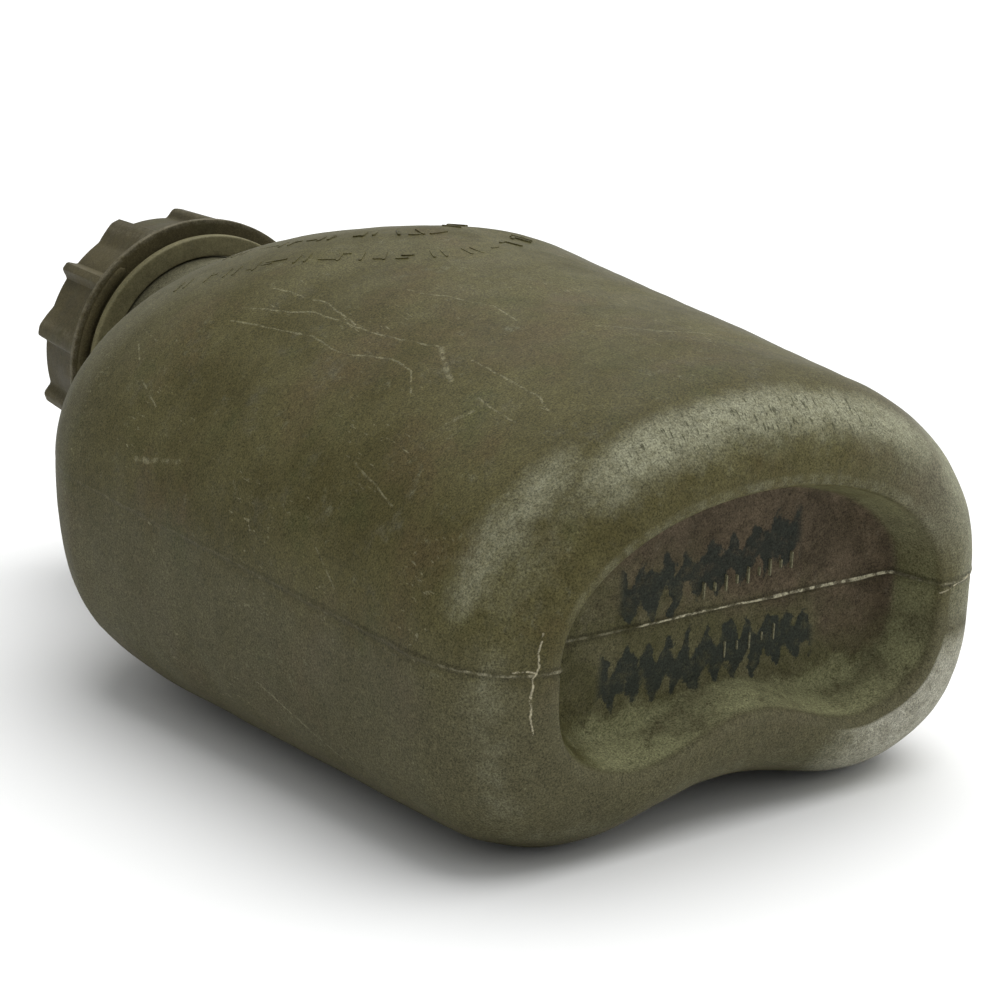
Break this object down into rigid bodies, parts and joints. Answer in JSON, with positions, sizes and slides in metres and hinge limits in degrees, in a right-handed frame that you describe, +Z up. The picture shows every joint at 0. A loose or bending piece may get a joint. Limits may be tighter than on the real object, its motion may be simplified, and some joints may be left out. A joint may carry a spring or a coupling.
{
  "type": "canteen",
  "caption": "Kidney-shaped one-quart field canteen lying on its hollow back, with a lugged screw cap, drinking port under a flip cover and a retaining strap.",
  "frame": {"origin": "under the middle of the canteen, on the surface that it lies on, resting on the two lobes of its back", "axes": "+Z up out of the rounded front, +Y from the base towards the cap (the neck axis rises 4 degrees over +Y because the lobes taper), +X across the bottle"},
  "size_m": [0.1236, 0.2158, 0.0864],
  "materials": {
    "bottle": "olive-drab blow-moulded polyethylene, satin, scuffed and mottled",
    "cap": "brownish olive moulded plastic with worn edges",
    "strap": "olive flexible moulded strap",
    "rubber": "black seal rubber",
    "pin": "plain steel pin"
  },
  "bodies": {
    "canteen": {"canteen_body": "bottle", "tether_neck_ring": "strap"},
    "tether": {"tether_cap_loop": "strap"},
    "cap": {"cap_shell": "cap", "cap_gasket": "rubber", "port_pin_seat": "cap", "port_seal": "rubber", "cover_hinge_pin": "pin"},
    "cover": {"flip_cover": "cap", "cover_seal": "rubber"}
  },
  "joints": [
    {"name": "cap_lift", "type": "slide", "parent": "canteen", "child": "tether", "axis": [0, 0.9975, 0.0701], "range_m": [0, 0.0451]},
    {"name": "cap_turn", "type": "hinge", "parent": "tether", "child": "cap", "pos_m": [0, 0.09332, 0.04899], "axis": [0, 0.9975, 0.0701], "range_deg": [0, 3240]},
    {"name": "cover_flip", "type": "hinge", "parent": "cap", "child": "cover", "pos_m": [0, 0.10464, 0.07044], "axis": [1, 0, 0], "range_deg": [0, 150]}
  ],
  "couplings": [
    {"joint": "cap_lift", "follows": "cap_turn", "m_per_rad": 0.00079577}
  ]
}
